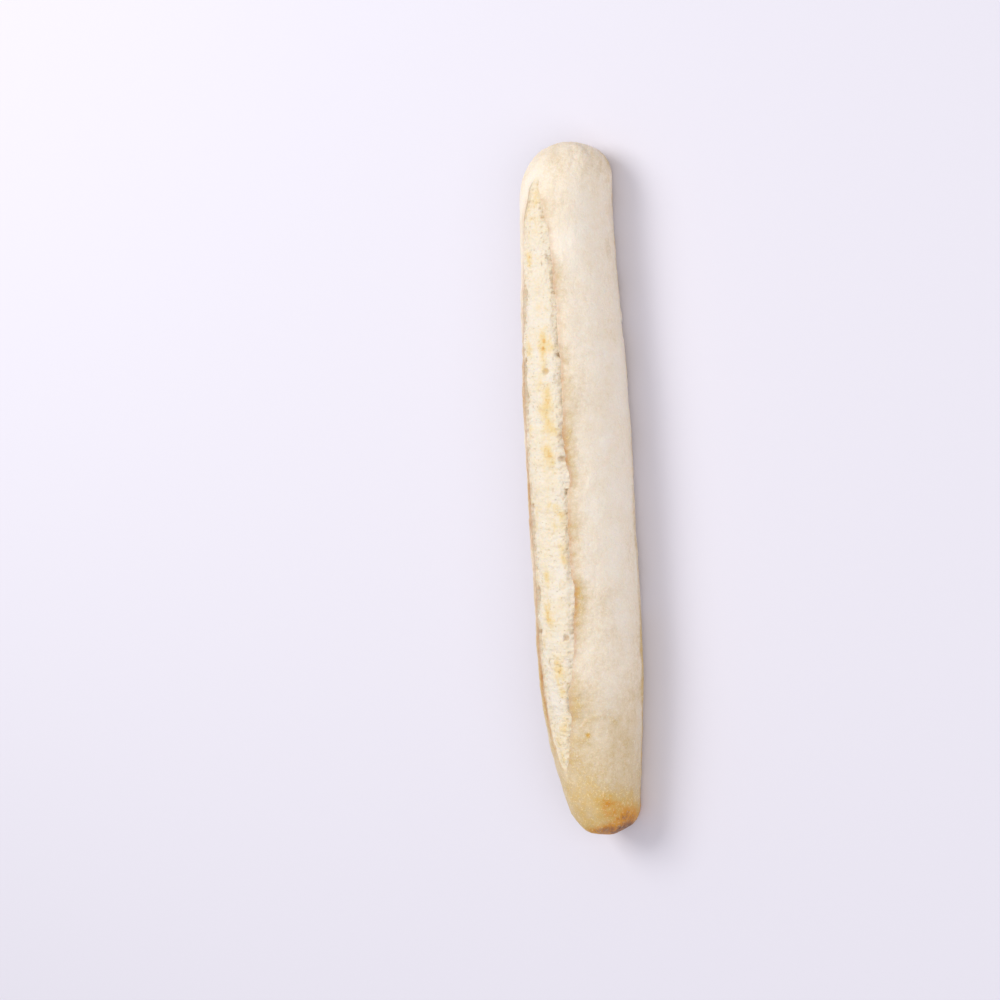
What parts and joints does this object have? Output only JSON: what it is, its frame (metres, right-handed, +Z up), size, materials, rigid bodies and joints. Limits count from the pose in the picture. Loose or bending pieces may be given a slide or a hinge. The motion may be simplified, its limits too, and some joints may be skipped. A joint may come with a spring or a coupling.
{
  "type": "half baguette",
  "caption": "Par-baked half baguette: a straight pale loaf with blunt rounded ends, a flat base and one long score along its top.",
  "frame": {"origin": "middle of the loaf's length and width, on the plane that its flat base rests on", "axes": "+X along the loaf towards its fuller end, +Y to the side that the score leans to, +Z up through the score"},
  "size_m": [0.325, 0.05, 0.0424],
  "materials": {
    "crust": "matt floury par-baked crust, golden at the ends"
  },
  "bodies": {
    "root": {"baguette": "crust"}
  },
  "joints": []
}
